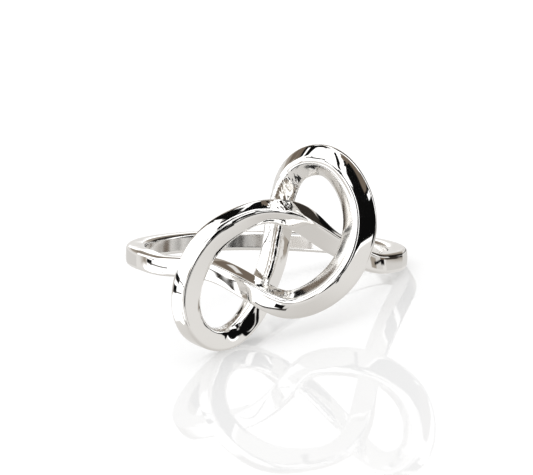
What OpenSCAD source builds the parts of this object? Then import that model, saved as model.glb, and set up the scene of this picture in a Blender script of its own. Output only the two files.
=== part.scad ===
// A one-piece wire ring, tied in front in a loose two-loop knot, lying on its side

/* [Band] */
// Inside radius of the band, from the finger axis to the wall
finger_r = 8.65; // [8.4:0.05:9.5]
// Thickness of the wire in the plain band, which the knot's wire follows
band_thick = 1.45; // [1.3:0.05:1.45]

/* [Wire] */
// Rounding radius of the wire's long edges, as a share of its thickness
edge_share = 0.17; // [0.1:0.01:0.3]
// Number of points on each rounded edge
edge_points = 5; // [3:1:6]
// Number of sections from one row of the knot table to the next
row_steps = 6; // [3:1:7]
// Number of sections along the plain arc of the band
arc_steps = 54; // [24:1:60]

/* [Resting pose] */
// Lean of the ring to its right, about the front-to-back axis
lean_side = 16.8; // [0:0.1:30]
// Lean of the ring back, which lifts the knot
lean_back = 4.6; // [0:0.1:30]

/* [Hidden] */

// The wire's middle line through the knot, from the left end of the band to its right end.
// across is to the right of the finger axis, out is from it to the front, up is along it.
// twist turns the wire about its own line, and thick is its thickness there.
// The sizes are for this finger radius and this thickness of the band.
table_finger_r = 8.65;
table_band_thick = 1.45;
knot_table = [
//   across   out     up    twist  thick
    [-8.55,   3.78,   0.00,    0,  1.45], // band
    [-7.07,   6.08,  -0.10,    0,  1.42],
    [-4.95,   7.92,   0.05,    6,  1.42], // lower arm, behind the left loop
    [-2.90,   9.85,  -0.18,   20,  1.45],
    [-0.40,  12.10,  -1.27,   24,  1.52], // lower arm, over the bar
    [ 1.75,  12.65,  -1.85,   27,  1.62],
    [ 4.05,  12.90,  -0.80,   17,  1.85], // right loop
    [ 5.70,  12.60,   1.15,    8,  1.88],
    [ 6.35,  12.10,   3.70,    2,  1.92],
    [ 5.75,  11.70,   6.20,    8,  1.85],
    [ 4.05,  11.30,   7.95,   28,  1.78],
    [ 2.05,  10.70,   7.50,   82,  1.68],
    [ 1.10,   9.82,   5.60,   96,  1.72],
    [ 0.75,   9.68,   3.30,  134,  1.60], // bar, behind the upper arm
    [ 0.35,   9.68,   0.75,  138,  1.55],
    [-0.35,   9.66,  -1.30,  140,  1.55], // bar, behind the lower arm
    [-1.15,   9.65,  -3.10,  160,  1.60],
    [-2.90,  10.20,  -4.62,  170,  1.52], // left loop
    [-4.95,  11.90,  -3.80,  232,  1.55],
    [-5.55,  12.60,  -1.15,  240,  1.64],
    [-4.40,  12.70,   1.95,  236,  1.70],
    [-2.20,  12.40,   3.80,  216,  1.50],
    [-0.05,  12.25,   4.52,  218,  1.35], // upper arm, over the bar
    [ 2.20,  11.45,   3.98,  214,  1.60],
    [ 4.32,   8.80,   2.21,  202,  1.52],
    [ 6.54,   6.68,   0.75,  190,  1.45], // upper arm, behind the right loop
    [ 7.85,   5.07,   0.20,  182,  1.45],
    [ 9.01,   2.48,   0.05,  180,  1.45], // band
];
// The table's columns. A station has its twist and its thickness in the same places.
across = 0;
out = 1;
up = 2;
twist = 3;
thick = 4;

// The band's wire is a little thick towards the finger, and the bore trims it to size.
bore_trim = 0.03;
band_mid_r = finger_r + band_thick / 2 - bore_trim;
plan_scale = band_mid_r / (table_finger_r + table_band_thick / 2 - bore_trim);
thick_scale = band_thick / table_band_thick;
bore_h = 30;
bore_sides = 180;
spline_rounds = 14;
last = len(knot_table) - 1;

// The knot's rows as stations, in which x is to the right, y to the back and z up
row_stations = [
    for (row = knot_table)
        [row[across] * plan_scale, -row[out] * plan_scale, row[up], row[twist], row[thick] * thick_scale]
];

// Control points of the smooth curve that passes through every row
function settled(points, rounds) =
    rounds == 0 ? points :
    settled([
        for (i = [0:last])
            i == 0 || i == last ? row_stations[i] :
            1.5 * row_stations[i] - (points[i - 1] + points[i + 1]) / 4
    ], rounds - 1);

inner_controls = settled(row_stations, spline_rounds);
controls = concat(
    [2 * inner_controls[0] - inner_controls[1]],
    inner_controls,
    [2 * inner_controls[last] - inner_controls[last - 1]]
);

function curve_at(i, t) =
    (pow(1 - t, 3) * controls[i]
        + (3 * pow(t, 3) - 6 * pow(t, 2) + 4) * controls[i + 1]
        + (-3 * pow(t, 3) + 3 * pow(t, 2) + 3 * t + 1) * controls[i + 2]
        + pow(t, 3) * controls[i + 3]) / 6;

knot_stations = concat(
    [for (i = [0:last - 1], k = [0:row_steps - 1]) curve_at(i, k / row_steps)],
    [row_stations[last]]
);

// The plain band: an arc round the back, from the knot's right end to its left end
arc_from = atan2(row_stations[last].y, row_stations[last].x);
arc_to = atan2(row_stations[0].y, row_stations[0].x) + 360;
end_twist = knot_table[last][twist];
band_stations = [
    for (k = [1:arc_steps - 1])
        let (share = k / arc_steps, turn = arc_from + (arc_to - arc_from) * share)
            [band_mid_r * cos(turn), band_mid_r * sin(turn),
                row_stations[last].z * (1 - share), end_twist, band_thick]
];

stations = concat(knot_stations, band_stations);
count = len(stations);
middles = [for (s = stations) [s.x, s.y, s.z]];

function unit(v) = v / norm(v);
function across_line(v, line) = unit(v - (v * line) * line);

// The wire's section, for a wire 1 thick: a square with rounded corners
corner_mid = 0.5 - edge_share;
section = [
    for (corner = [0:3], k = [0:edge_points - 1])
        let (turn = 90 * (corner + k / (edge_points - 1)), mid = 90 * corner + 45)
            [corner_mid * sqrt(2) * cos(mid) + edge_share * cos(turn),
                corner_mid * sqrt(2) * sin(mid) + edge_share * sin(turn)]
];
ring_points = len(section);

// The section at a station, square to the line and turned by its twist
function section_at(i) =
    let (
        line = unit(middles[(i + 1) % count] - middles[(i + count - 1) % count]),
        outward = across_line([middles[i].x, middles[i].y, 0], line),
        side = cross(line, outward),
        turn = stations[i][twist],
        first = cos(turn) * outward + sin(turn) * side,
        second = cos(turn) * side - sin(turn) * outward
    )
        [for (p = section) middles[i] + stations[i][thick] * (p.x * first + p.y * second)];

wire_points = [for (i = [0:count - 1]) each section_at(i)];

// The section has made half a turn when the wire closes, so the last strip shifts by half a section
function point_index(i, j) =
    (i % count) * ring_points + (j + (i < count ? 0 : ring_points / 2)) % ring_points;

wire_faces = [
    for (i = [0:count - 1], j = [0:ring_points - 1])
        each [
            [point_index(i, j), point_index(i + 1, j), point_index(i + 1, j + 1)],
            [point_index(i, j), point_index(i + 1, j + 1), point_index(i, j + 1)]
        ]
];

// Where the leaning ring's lowest point and middle lie, to stand it on the surface over the origin
function leant(p) =
    let (y = p.y * cos(lean_back) + p.z * sin(lean_back), z = p.z * cos(lean_back) - p.y * sin(lean_back))
        [p.x * cos(lean_side) + z * sin(lean_side), y, z * cos(lean_side) - p.x * sin(lean_side)];

leant_points = [for (p = wire_points) leant(p)];
xs = [for (p = leant_points) p.x];
ys = [for (p = leant_points) p.y];
zs = [for (p = leant_points) p.z];
place = [-(min(xs) + max(xs)) / 2, -(min(ys) + max(ys)) / 2, -min(zs)];

module ring() {
    color("gainsboro")
        translate(place)
            rotate([-lean_back, lean_side, 0])
                difference() {
                    polyhedron(points = wire_points, faces = wire_faces, convexity = 8);
                    cylinder(r = finger_r, h = bore_h, center = true, $fn = bore_sides);
                }
}

ring();
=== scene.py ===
import math

import bpy
import numpy as np
from mathutils import Matrix, Vector


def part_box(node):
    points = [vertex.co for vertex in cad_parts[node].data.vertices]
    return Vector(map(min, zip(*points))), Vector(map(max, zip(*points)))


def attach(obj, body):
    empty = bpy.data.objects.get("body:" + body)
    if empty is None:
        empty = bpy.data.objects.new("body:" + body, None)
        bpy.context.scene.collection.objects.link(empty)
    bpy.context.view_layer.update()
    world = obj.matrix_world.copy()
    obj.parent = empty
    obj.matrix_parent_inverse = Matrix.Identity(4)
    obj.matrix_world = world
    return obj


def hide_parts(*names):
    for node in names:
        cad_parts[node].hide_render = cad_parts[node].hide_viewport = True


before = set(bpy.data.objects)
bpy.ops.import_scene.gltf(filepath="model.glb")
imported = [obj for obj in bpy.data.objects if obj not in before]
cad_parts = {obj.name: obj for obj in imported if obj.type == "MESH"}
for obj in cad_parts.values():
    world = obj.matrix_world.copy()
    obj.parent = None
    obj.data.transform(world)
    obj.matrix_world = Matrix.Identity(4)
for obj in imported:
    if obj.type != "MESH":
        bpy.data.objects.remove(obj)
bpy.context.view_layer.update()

MM = 0.001

# The ring's construction sizes, as in the part's source, in millimetres and degrees
FINGER_R = 8.65
BAND_THICK = 1.45
BORE_TRIM = 0.03
BAND_MID_R = FINGER_R + BAND_THICK / 2 - BORE_TRIM
LEAN_SIDE = 16.8
LEAN_BACK = 4.6

# The wire's middle line through the knot: across, out, up, twist, thick
KNOT = [
    (-8.55, 3.78, 0.00, 0, 1.45),
    (-7.07, 6.08, -0.10, 0, 1.42),
    (-4.95, 7.92, 0.05, 6, 1.42),
    (-2.90, 9.85, -0.18, 20, 1.45),
    (-0.40, 12.10, -1.27, 24, 1.52),
    (1.75, 12.65, -1.85, 27, 1.62),
    (4.05, 12.90, -0.80, 17, 1.85),
    (5.70, 12.60, 1.15, 8, 1.88),
    (6.35, 12.10, 3.70, 2, 1.92),
    (5.75, 11.70, 6.20, 8, 1.85),
    (4.05, 11.30, 7.95, 28, 1.78),
    (2.05, 10.70, 7.50, 82, 1.68),
    (1.10, 9.82, 5.60, 96, 1.72),
    (0.75, 9.68, 3.30, 134, 1.60),
    (0.35, 9.68, 0.75, 138, 1.55),
    (-0.35, 9.66, -1.30, 140, 1.55),
    (-1.15, 9.65, -3.10, 160, 1.60),
    (-2.90, 10.20, -4.62, 170, 1.52),
    (-4.95, 11.90, -3.80, 232, 1.55),
    (-5.55, 12.60, -1.15, 240, 1.64),
    (-4.40, 12.70, 1.95, 236, 1.70),
    (-2.20, 12.40, 3.80, 216, 1.50),
    (-0.05, 12.25, 4.52, 218, 1.35),
    (2.20, 11.45, 3.98, 214, 1.60),
    (4.32, 8.80, 2.21, 202, 1.52),
    (6.54, 6.68, 0.75, 190, 1.45),
    (7.85, 5.07, 0.20, 182, 1.45),
    (9.01, 2.48, 0.05, 180, 1.45),
]

# The rounding of the wire's edges from row to row of the knot: row, then a share for each edge
EDGES = [
    (0, 0.22, 0.22, 0.22, 0.22),
    (2, 0.17, 0.17, 0.17, 0.17),
    (4, 0.17, 0.17, 0.17, 0.20),
    (5.5, 0.17, 0.17, 0.17, 0.22),
    (9.5, 0.17, 0.17, 0.17, 0.26),
    (11.5, 0.17, 0.17, 0.20, 0.22),
    (12.5, 0.17, 0.17, 0.34, 0.20),
    (15.5, 0.17, 0.17, 0.34, 0.17),
    (17, 0.17, 0.17, 0.17, 0.17),
    (20, 0.17, 0.17, 0.17, 0.17),
    (20.9, 0.17, 0.30, 0.17, 0.17),
    (21.6, 0.17, 0.30, 0.17, 0.17),
    (22.3, 0.17, 0.17, 0.17, 0.17),
    (25, 0.17, 0.17, 0.17, 0.17),
    (27, 0.22, 0.22, 0.22, 0.22),
]
# How far the wire's polished sides turn from flat at their edges, in degrees, and the crown's height
CROWN = 3.5
CROWN_DROP = 0.010

# Where the wire keeps marks of its casting, and where the polishing wheel hardly reached: the knot's
# row, half the length in rows, the face, half the width in faces, and how strong. Faces count round
# the wire from 0 to 4, and face 3 looks into the knot's loops.
CASTING = [
    (4.3, 0.7, 3, 0.6, 0.4),
    (11.8, 0.8, 3, 0.6, 1.0),
    (14.0, 1.7, 2.5, 0.55, 0.5),
    (17.0, 0.9, 3, 0.6, 0.9),
    (22.2, 0.35, 1, 0.6, 0.5),
]
DULL = [
    (8.0, 3.6, 3, 0.75, 1.0),
    (19.5, 3.0, 3, 0.75, 0.8),
    (23.5, 2.0, 3, 0.75, 0.8),
    (31.3, 4.2, 0, 0.75, 1.0),
]

# How finely the wire is drawn
ROW_STEPS = 30
ARC_STEPS = 260
EDGE_POINTS = 7
FLAT_POINTS = 6
SPLINE_ROUNDS = 14

# The metal's two tones, and its roughness: from the best polish to the least, and what dullness adds
METAL_TONES = ((0.935, 0.927, 0.913, 1), (0.915, 0.905, 0.888, 1))
POLISH = (0.015, 0.05)
DULL_ROUGHNESS = 0.11
# The noises in it: how many grains to a millimetre and how detailed, and a relief's height in millimetres
TONE_NOISE = (0.8, 3.0)
POLISH_NOISE = (1.5, 4.0)
WAVE_NOISE = (0.35, 1.0)
WAVE_HEIGHT = 0.02
GRAIN_NOISE = (14.0, 2.0)
GRAIN_HEIGHT = 0.0001
WRINKLE_NOISE = (1.6, 2.5)
WRINKLE_STRETCH = (1.0, 1.0, 0.35)
WRINKLE_HEIGHT = 0.12
# Between these values lies most of a noise
NOISE_RANGE = (0.3, 0.7)
# The Mix node's sockets for two colours and for their mixture
MIX_UNDER = 6
MIX_OVER = 7
MIX_OUT = 2

# The floor reaches this far from the middle, in metres
FLOOR_HALF = 3.0
FLOOR_WHITE = (1.0, 1.0, 1.0, 1)
FLOOR_ROUGHNESS = 0.02
FLOOR_IOR = 1.1

# The photograph's view, measured against a ring that leans differently from this one: lengths in
# millimetres, angles in degrees, and the focal length and the image's width in pixels
VIEW_DOWN = 16.8
VIEW_DISTANCE = 350.0
VIEW_PIXELS = 4900.0
IMAGE_WIDTH = 533
AIM_HEIGHT = 4.65
SEEN_LEAN_BACK = 10.2
SEEN_LEAN_SIDE = 1.0
SEEN_HEIGHT = 3.3
# The camera's sensor in millimetres, and the nearest distance that it sees in metres
SENSOR_WIDTH = 36
NEAREST_SEEN = 0.01

# The studio that the polished metal mirrors: white walls and a pale floor, with dark and light cards.
# Each card has the azimuth and elevation of its middle, half its width and height, its turn and the
# softness of its edge in degrees, and its colour. A card lies over those before it. Azimuth 0 is
# towards the camera's side, and azimuth 90 to the right.
EVEN_LIGHT = (1.0, 1.0, 1.0)
SKY = (1.5, 1.5, 1.5)
HORIZON_SOFTNESS = 2.0
# The floor that the metal mirrors darkens from far to near: painted shade and painted reflection of the
# ring on the floor beneath it
FLOOR_FAR = (0.80, 0.785, 0.765)
FLOOR_SHADED_NEAR = (0.64, 0.62, 0.595)
FAR_ELEVATION = -15.0
NEAR_ELEVATION = -70.0
BLACK = (0.004, 0.004, 0.004)
DARK = (0.035, 0.029, 0.024)
BROWN = (0.17, 0.135, 0.105)
TAN = (0.36, 0.32, 0.275)
SILVER = (0.68, 0.665, 0.645)
PALE = (0.80, 0.785, 0.765)
WHITE = (1.5, 1.5, 1.5)
CARDS = [
    # azimuth, elevation, half width, half height, turn, softness, colour
    # The wall behind the ring, and in it the white that the floor mirrors
    (185, 26, 45, 26, 0, 12.0, TAN),
    (-174, 4, 8, 6, 0, 4.0, WHITE),
    # Low on the left
    (-110, -18, 9, 16, 0, 2.0, WHITE),
    (-101, -31, 8, 9, 0, 2.0, WHITE),
    (-82, -12, 28, 12, 0, 2.0, WHITE),
    (-50, -24, 26, 10, -24, 1.5, WHITE),
    (-46, -36.5, 29, 0.9, -24, 1.2, DARK),
    (-30, -38, 8, 4, -30, 1.2, BLACK),
    (-94, -19, 7, 0.6, 43, 0.8, DARK),
    (-117.5, -6, 2.5, 5, 0, 4.0, TAN),
    (-111.4, -6.8, 3.7, 2.4, 0, 1.0, BLACK),
    (-97, -7.4, 13, 0.5, 4, 0.8, DARK),
    (-148, -16, 18, 6, 0, 5.0, SILVER),
    # High on the right
    (62, 19.5, 34, 17.5, 0, 1.0, BLACK),
    (61, 44, 9, 9, 0, 1.0, BLACK),
    (74, 48, 8, 18, 8, 1.5, BROWN),
    (66, 57, 6, 6, 0, 1.5, BROWN),
    (60, 53, 2, 3, -20, 1.0, BLACK),
    (47, 47, 7, 9, -35, 1.0, WHITE),
    (75.5, 25.5, 5, 1.8, 0, 1.0, WHITE),
    (54, 58, 4, 6, -20, 1.0, WHITE),
    (51, 66, 3.4, 8.5, -20, 1.2, BLACK),
    (42, 54, 3, 9, -54, 1.2, BLACK),
    # In front, and to the right near the level
    (5, 33.2, 20, 2.2, 31, 1.0, BLACK),
    (95, -6, 5, 12, 0, 2.0, DARK),
    (-28, 6, 13, 4, 0, 3.0, TAN),
    (6, -1, 8, 13, 0, 2.0, BLACK),
    (20, -2, 9, 11, 0, 2.0, BLACK),
    (2, 27, 17, 4.5, -55, 1.5, BLACK),
    (12.5, 23.5, 3.5, 22, 34, 1.5, BLACK),
    (-36, 58, 14, 3.5, 0, 1.5, BLACK),
    (33, -10, 14, 2.5, -58, 1.5, BLACK),
    (-10, 45, 4, 9, 10, 1.5, BLACK),
    (17, 3.2, 14, 1.6, -3, 1.0, PALE),
    (24.5, 2.4, 2.5, 1.5, 0, 2.0, DARK),
    (8, 3.6, 2, 1, 0, 2.0, BROWN),
    (-16, -2, 4, 5, 0, 1.5, BLACK),
    (34, 2, 8, 3, 30, 2.0, BLACK),
    (80, -1, 9, 4.5, 0, 2.0, BLACK),
    # High on the left and overhead
    (-148, 70, 25.5, 13, 0, 1.5, BLACK),
    (-95, 61.5, 14, 3, 0, 1.5, BLACK),
    (-50, 66, 45, 5, 0, 1.5, BLACK),
    (-148, 47, 12, 7, -15, 1.5, BLACK),
    (-132, 56, 9, 4, -10, 1.5, BLACK),
    (-140, 53.5, 6, 3, 0, 1.5, BLACK),
    (-157, 52, 7.5, 6, 0, 1.0, WHITE),
    (-123, 49.5, 12.5, 3, 10, 1.0, WHITE),
    (-68, 47, 8, 4, 0, 1.5, BLACK),
    (-176, 66, 13, 5, 0, 2.0, BROWN),
    (180, 86, 85, 3, 0, 1.0, DARK),
    # Halfway up and near the level on the left
    (-140, 34, 11, 5, 10, 2.0, BROWN),
    (-140, 42, 10, 3, 15, 2.0, BLACK),
    (-148, 20, 6, 8, 0, 5.0, BROWN),
    (-128, 31, 6, 8, 30, 5.0, BROWN),
    (-44, 6, 1.5, 18, 15, 1.5, BROWN),
    (-110, 0.6, 5.0, 2.0, -12, 1.0, BLACK),
    (-83, 0.2, 24, 0.4, 0, 0.6, DARK),
    # Behind on the right
    (176, 34, 8, 9, 0, 1.0, BROWN),
    (177, 34, 1.5, 3.5, 20, 1.0, PALE),
    (162, 45, 6, 5, 0, 2.0, TAN),
    (132, 34, 20, 33, 0, 2.0, DARK),
    (163, -4, 18, 1.5, -28, 1.0, BLACK),
    (160, -14, 18, 5, 0, 4.0, SILVER),
    # Low on the right
    (100, -14, 12, 6, 0, 4.0, SILVER),
    (88.5, -16.5, 5, 3, 0, 3.0, TAN),
    (130, -13, 8, 2.5, 0, 5.0, TAN),
    (131, -18, 9, 4, 0, 4.0, SILVER),
    (98.5, -15.2, 9, 0.6, 8, 0.8, BLACK),
    (111, -13.8, 5, 2.3, 0, 1.5, BLACK),
    (127, -10.8, 8, 2.0, 0, 1.5, DARK),
    (113, -10.8, 7, 2.0, 0, 2.0, BROWN),
    (133.5, -7, 3.5, 4.5, 0, 1.5, DARK),
    (137, 0, 5, 3.5, 0, 1.5, BLACK),
]


def turned_x(degrees):
    return Matrix.Rotation(math.radians(degrees), 3, "X")


def turned_y(degrees):
    return Matrix.Rotation(math.radians(degrees), 3, "Y")


LEAN = turned_y(LEAN_SIDE) @ turned_x(-LEAN_BACK)
SEEN_LEAN = turned_y(SEEN_LEAN_SIDE) @ turned_x(-SEEN_LEAN_BACK)
# From the level frame of the photograph to the frame of the ring at rest
SEEN_TO_RESTING = LEAN @ SEEN_LEAN.transposed()


def spline(rows):
    """The smooth curve that passes through every row, as stations with all the rows' columns."""
    controls = rows.copy()
    for _ in range(SPLINE_ROUNDS):
        settled = controls.copy()
        settled[1:-1] = 1.5 * rows[1:-1] - (controls[:-2] + controls[2:]) / 4
        controls = settled
    controls = np.vstack([2 * controls[0] - controls[1], controls, 2 * controls[-1] - controls[-2]])
    stations = []
    for i in range(len(rows) - 1):
        for k in range(ROW_STEPS):
            t = k / ROW_STEPS
            weights = np.array([
                (1 - t) ** 3,
                3 * t ** 3 - 6 * t ** 2 + 4,
                -3 * t ** 3 + 3 * t ** 2 + 3 * t + 1,
                t ** 3,
            ]) / 6
            stations.append(weights @ controls[i:i + 4])
    stations.append(rows[-1])
    return np.array(stations)


def wire_stations():
    """The whole closed wire: x, y, z, twist and thickness at each station."""
    rows = np.array(KNOT, float)
    rows[:, 1] *= -1
    knot = spline(rows)
    start = math.atan2(rows[-1, 1], rows[-1, 0])
    end = math.atan2(rows[0, 1], rows[0, 0]) + 2 * math.pi
    share = np.arange(1, ARC_STEPS) / ARC_STEPS
    turn = start + (end - start) * share
    band = np.stack([
        BAND_MID_R * np.cos(turn),
        BAND_MID_R * np.sin(turn),
        rows[-1, 2] * (1 - share),
        np.full(len(share), rows[-1, 3]),
        np.full(len(share), BAND_THICK),
    ], 1)
    return np.vstack([knot, band])


def edge_shares(count):
    """The rounding of the wire's four edges at each station, as shares of its thickness."""
    table = np.array(EDGES, float)
    station = np.arange(count) / ROW_STEPS
    return np.stack([np.interp(station, table[:, 0], table[:, 1 + edge]) for edge in range(4)], 1)


def wire_sections(shares):
    """Squares 1 wide with rounded corners and slightly crowned sides, one for each row of shares."""
    crown = math.radians(CROWN)
    corners = []
    for corner in range(4):
        share = shares[:, corner:corner + 1]
        reach = (0.5 - share - CROWN_DROP) * math.sqrt(2)
        centre = math.radians(90 * corner + 45)
        turn = crown + (math.pi / 2 - 2 * crown) * np.arange(EDGE_POINTS) / (EDGE_POINTS - 1)
        turn = turn + math.radians(90 * corner)
        corners.append(np.stack([
            reach * math.cos(centre) + share * np.cos(turn),
            reach * math.sin(centre) + share * np.sin(turn),
        ], 2))
    points = []
    for corner in range(4):
        start, end = corners[corner][:, -1:], corners[(corner + 1) % 4][:, :1]
        length = np.linalg.norm(end - start, axis=2, keepdims=True) / 3
        side = math.radians(90 * corner + 180)
        leaving = start + length * (math.cos(side - crown), math.sin(side - crown))
        arriving = end - length * (math.cos(side + crown), math.sin(side + crown))
        points.append(corners[corner])
        for k in range(1, FLAT_POINTS):
            t = k / FLAT_POINTS
            points.append(
                (1 - t) ** 3 * start + 3 * t * (1 - t) ** 2 * leaving
                + 3 * t ** 2 * (1 - t) * arriving + t ** 3 * end
            )
    return np.concatenate(points, 1)


def unit_rows(v):
    return v / np.linalg.norm(v, axis=1, keepdims=True)


def swept_ring():
    """The wire's surface in the ring's own frame, as one row of points for each station."""
    stations = wire_stations()
    middle = stations[:, :3]
    line = unit_rows(np.roll(middle, -1, 0) - np.roll(middle, 1, 0))
    outward = middle * (1, 1, 0)
    outward = unit_rows(outward - (outward * line).sum(1, keepdims=True) * line)
    side = np.cross(line, outward)
    twist = np.radians(stations[:, 3])[:, None]
    first = np.cos(twist) * outward + np.sin(twist) * side
    second = np.cos(twist) * side - np.sin(twist) * outward
    section = wire_sections(edge_shares(len(stations)))
    surface = middle[:, None] + stations[:, 4][:, None, None] * (
        section[..., :1] * first[:, None] + section[..., 1:] * second[:, None]
    )
    # The finger's bore trims the wall to size
    radius = np.hypot(surface[..., 0], surface[..., 1])
    grow = np.maximum(FINGER_R / radius, 1)
    surface[..., :2] *= grow[..., None]
    return surface


def leant(surface):
    """The surface's points in one list, leaning as the ring rests, in metres."""
    return surface.reshape(-1, 3) @ np.array(LEAN).T * MM


def place_in_box(points):
    """How far the leaning ring moves, to lie in the middle of its CAD node's box and on its bottom."""
    low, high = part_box("ring")
    middle = (points.min(0) + points.max(0)) / 2
    return (
        (low.x + high.x) / 2 - middle[0],
        (low.y + high.y) / 2 - middle[1],
        low.z - points[:, 2].min(),
    )


def marked(table, rows, around):
    """How strong a table's marks are at each point of the surface, from 0 to 1."""
    row = (np.arange(rows) / ROW_STEPS)[:, None]
    # A face's middle lies three quarters of the way from one edge's first point to the next edge's
    face = (np.arange(around) * 4 / around + 0.25)[None]
    marks = np.zeros((rows, around))
    for middle_row, half_length, middle_face, half_width, strength in table:
        along = (row - middle_row) / half_length
        beside = ((face - middle_face + 2) % 4 - 2) / half_width
        fade = np.clip(1 - along ** 4, 0, 1) * np.clip(1 - beside ** 4, 0, 1)
        marks = np.maximum(marks, strength * fade)
    return marks


def build_ring(surface, place):
    """The swept surface as one closed mesh at rest, with its marks as attributes for the material."""
    rows, around = surface.shape[:2]
    half = around // 2
    faces = []
    for i in range(rows):
        following = (i + 1) % rows
        # The section has made half a turn when the wire closes
        shift = half if following == 0 else 0
        for j in range(around):
            k = (j + 1) % around
            faces.append((
                i * around + j,
                following * around + (j + shift) % around,
                following * around + (k + shift) % around,
                i * around + k,
            ))
    mesh = bpy.data.meshes.new("knot_ring")
    mesh.from_pydata((leant(surface) + np.array(place)).tolist(), [], faces)
    mesh.update()
    mesh.polygons.foreach_set("use_smooth", [True] * len(mesh.polygons))
    for name, table in (("casting", CASTING), ("dull", DULL)):
        marks = mesh.attributes.new(name, "FLOAT", "POINT")
        marks.data.foreach_set("value", marked(table, rows, around).ravel())
    piece = bpy.data.objects.new("knot_ring", mesh)
    bpy.context.scene.collection.objects.link(piece)
    return piece


def metal_material():
    material = bpy.data.materials.new("polished_metal")
    material.use_nodes = True
    tree = material.node_tree
    shader = tree.nodes["Principled BSDF"]
    shader.inputs["Metallic"].default_value = 1.0
    places = tree.nodes.new("ShaderNodeTexCoord")

    def noise(per_mm, detail, stretch=(1, 1, 1)):
        mapping = tree.nodes.new("ShaderNodeMapping")
        mapping.inputs["Scale"].default_value = [per_mm / MM * side for side in stretch]
        tree.links.new(places.outputs["Object"], mapping.inputs["Vector"])
        texture = tree.nodes.new("ShaderNodeTexNoise")
        texture.inputs["Scale"].default_value = 1.0
        texture.inputs["Detail"].default_value = detail
        tree.links.new(mapping.outputs["Vector"], texture.inputs["Vector"])
        return texture.outputs[0]

    def between(value, low, high):
        node = tree.nodes.new("ShaderNodeMapRange")
        node.inputs["From Min"].default_value = NOISE_RANGE[0]
        node.inputs["From Max"].default_value = NOISE_RANGE[1]
        node.inputs["To Min"].default_value = low
        node.inputs["To Max"].default_value = high
        tree.links.new(value, node.inputs["Value"])
        return node.outputs["Result"]

    def attribute(name):
        node = tree.nodes.new("ShaderNodeAttribute")
        node.attribute_name = name
        return node.outputs["Fac"]

    def bumped(pattern, strength, height_mm, normal=None):
        node = tree.nodes.new("ShaderNodeBump")
        node.inputs["Distance"].default_value = height_mm * MM
        if isinstance(strength, bpy.types.NodeSocket):
            tree.links.new(strength, node.inputs["Strength"])
        else:
            node.inputs["Strength"].default_value = strength
        tree.links.new(pattern, node.inputs["Height"])
        if normal is not None:
            tree.links.new(normal, node.inputs["Normal"])
        return node.outputs["Normal"]

    tint = tree.nodes.new("ShaderNodeMix")
    tint.data_type = "RGBA"
    tint.inputs[MIX_UNDER].default_value = METAL_TONES[0]
    tint.inputs[MIX_OVER].default_value = METAL_TONES[1]
    tree.links.new(noise(*TONE_NOISE), tint.inputs["Factor"])
    tree.links.new(tint.outputs[MIX_OUT], shader.inputs["Base Color"])
    # The buffing wheel leaves the finish a little less than perfect, in soft patches
    roughness = tree.nodes.new("ShaderNodeMath")
    roughness.operation = "MULTIPLY_ADD"
    roughness.inputs[1].default_value = DULL_ROUGHNESS
    tree.links.new(attribute("dull"), roughness.inputs[0])
    tree.links.new(between(noise(*POLISH_NOISE), *POLISH), roughness.inputs[2])
    tree.links.new(roughness.outputs[0], shader.inputs["Roughness"])
    normal = bumped(noise(*WAVE_NOISE), 1.0, WAVE_HEIGHT)
    normal = bumped(noise(*GRAIN_NOISE), 1.0, GRAIN_HEIGHT, normal)
    wrinkles = noise(*WRINKLE_NOISE, WRINKLE_STRETCH)
    normal = bumped(wrinkles, attribute("casting"), WRINKLE_HEIGHT, normal)
    tree.links.new(normal, shader.inputs["Normal"])
    return material


def floor_material():
    material = bpy.data.materials.new("pale_floor")
    material.use_nodes = True
    tree = material.node_tree
    shader = tree.nodes["Principled BSDF"]
    shader.inputs["Base Color"].default_value = FLOOR_WHITE
    shader.inputs["Roughness"].default_value = FLOOR_ROUGHNESS
    shader.inputs["IOR"].default_value = FLOOR_IOR
    return material


def build_floor():
    mesh = bpy.data.meshes.new("floor")
    corners = [(x * FLOOR_HALF, y * FLOOR_HALF, 0) for x, y in ((-1, -1), (1, -1), (1, 1), (-1, 1))]
    mesh.from_pydata(corners, [], [(0, 1, 2, 3)])
    piece = bpy.data.objects.new("floor", mesh)
    bpy.context.scene.collection.objects.link(piece)
    piece.data.materials.append(floor_material())
    # The metal mirrors the studio's floor tones instead
    piece.visible_glossy = False
    return piece


def place_camera(place):
    """The photograph's view of the ring, moved with the ring to where it rests."""
    down = math.radians(VIEW_DOWN)
    forward = Vector((0, math.cos(down), -math.sin(down)))
    upward = Vector((0, math.sin(down), math.cos(down)))
    eye = Vector((0, 0, AIM_HEIGHT)) - forward * VIEW_DISTANCE
    eye = SEEN_TO_RESTING @ (eye - Vector((0, 0, SEEN_HEIGHT)))
    right = SEEN_TO_RESTING @ Vector((1, 0, 0))
    upward = SEEN_TO_RESTING @ upward
    backward = -(SEEN_TO_RESTING @ forward)
    turn = Matrix((right, upward, backward)).transposed().to_4x4()
    data = bpy.data.cameras.new("camera")
    data.sensor_width = SENSOR_WIDTH
    data.lens = VIEW_PIXELS / IMAGE_WIDTH * SENSOR_WIDTH
    data.clip_start = NEAREST_SEEN
    camera = bpy.data.objects.new("camera", data)
    bpy.context.scene.collection.objects.link(camera)
    camera.matrix_world = Matrix.Translation(eye * MM + Vector(place)) @ turn
    return camera


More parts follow.
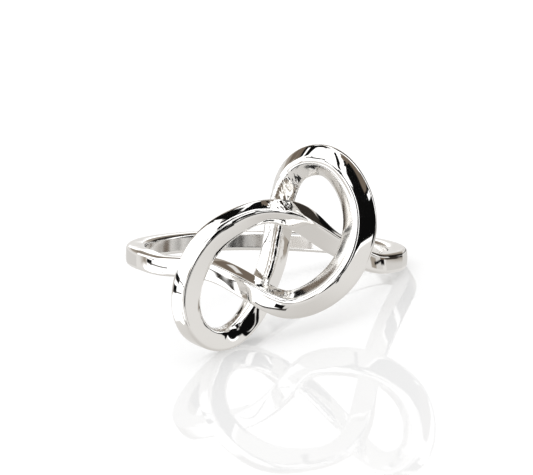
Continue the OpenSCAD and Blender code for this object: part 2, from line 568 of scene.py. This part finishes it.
def studio_world():
    """The studio, as the metal and the floor's gloss mirror it and as plain light for everything else."""
    world = bpy.data.worlds.new("studio")
    world.use_nodes = True
    tree = world.node_tree
    tree.nodes.clear()

    def sum_node(operation, *values):
        node = tree.nodes.new("ShaderNodeMath")
        node.operation = operation
        for socket, value in zip(node.inputs, values):
            if isinstance(value, bpy.types.NodeSocket):
                tree.links.new(value, socket)
            else:
                socket.default_value = value
        return node.outputs[0]

    def along(vector, axis):
        node = tree.nodes.new("ShaderNodeVectorMath")
        node.operation = "DOT_PRODUCT"
        tree.links.new(vector, node.inputs[0])
        node.inputs[1].default_value = axis
        return node.outputs["Value"]

    def smooth_step(value, low, high):
        node = tree.nodes.new("ShaderNodeMapRange")
        node.interpolation_type = "SMOOTHSTEP"
        tree.links.new(value, node.inputs["Value"])
        node.inputs["From Min"].default_value = low
        node.inputs["From Max"].default_value = high
        return node.outputs["Result"]

    def blended(share, under, over):
        node = tree.nodes.new("ShaderNodeMix")
        node.data_type = "RGBA"
        tree.links.new(share, node.inputs["Factor"])
        for socket, value in ((node.inputs[MIX_UNDER], under), (node.inputs[MIX_OVER], over)):
            if isinstance(value, bpy.types.NodeSocket):
                tree.links.new(value, socket)
            else:
                socket.default_value = (*value, 1)
        return node.outputs[MIX_OUT]

    direction = tree.nodes.new("ShaderNodeTexCoord").outputs["Generated"]
    # The level and the heading of the photograph, which lean against the floor
    sideways = along(direction, SEEN_TO_RESTING @ Vector((1, 0, 0)))
    away = along(direction, SEEN_TO_RESTING @ Vector((0, 1, 0)))
    height = along(direction, SEEN_TO_RESTING @ Vector((0, 0, 1)))
    azimuth = sum_node("DEGREES", sum_node("ARCTAN2", sideways, sum_node("MULTIPLY", away, -1.0)))
    elevation = sum_node("DEGREES", sum_node("ARCSINE", height))
    # The mirrored floor darkens towards straight down, painted shade and painted reflection of the ring
    # beneath it
    colour = blended(smooth_step(elevation, FAR_ELEVATION, NEAR_ELEVATION), FLOOR_FAR, FLOOR_SHADED_NEAR)
    horizon = smooth_step(elevation, -HORIZON_SOFTNESS / 2, HORIZON_SOFTNESS / 2)
    colour = blended(horizon, colour, SKY)
    for card_azimuth, card_elevation, half_width, half_height, turn, softness, shade in CARDS:
        across = sum_node("WRAP", sum_node("SUBTRACT", azimuth, card_azimuth), -180.0, 180.0)
        above = sum_node("SUBTRACT", elevation, card_elevation)
        cosine, sine = math.cos(math.radians(turn)), math.sin(math.radians(turn))
        along_width = sum_node(
            "ADD", sum_node("MULTIPLY", across, cosine), sum_node("MULTIPLY", above, sine))
        along_height = sum_node(
            "SUBTRACT", sum_node("MULTIPLY", above, cosine), sum_node("MULTIPLY", across, sine))
        outside = sum_node(
            "MAXIMUM",
            sum_node("SUBTRACT", sum_node("ABSOLUTE", along_width), half_width),
            sum_node("SUBTRACT", sum_node("ABSOLUTE", along_height), half_height),
        )
        colour = blended(smooth_step(outside, softness / 2, -softness / 2), colour, shade)
    # The mirrored studio is seen in the metal and the floor's gloss, and the floor is lit evenly
    path = tree.nodes.new("ShaderNodeLightPath")
    mirrored = sum_node("SUBTRACT", path.outputs["Is Glossy Ray"], path.outputs["Diffuse Depth"])
    colour = blended(sum_node("MAXIMUM", mirrored, 0.0), EVEN_LIGHT, colour)
    background = tree.nodes.new("ShaderNodeBackground")
    tree.links.new(colour, background.inputs["Color"])
    output = tree.nodes.new("ShaderNodeOutputWorld")
    tree.links.new(background.outputs[0], output.inputs[0])
    return world


ring_surface = swept_ring()
ring_place = place_in_box(leant(ring_surface))
ring = build_ring(ring_surface, ring_place)
ring.data.materials.append(metal_material())
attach(ring, "root")
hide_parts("ring")

floor = build_floor()

bpy.context.scene.camera = place_camera(ring_place)
bpy.context.scene.view_settings.view_transform = "Standard"
bpy.context.scene.world = studio_world()
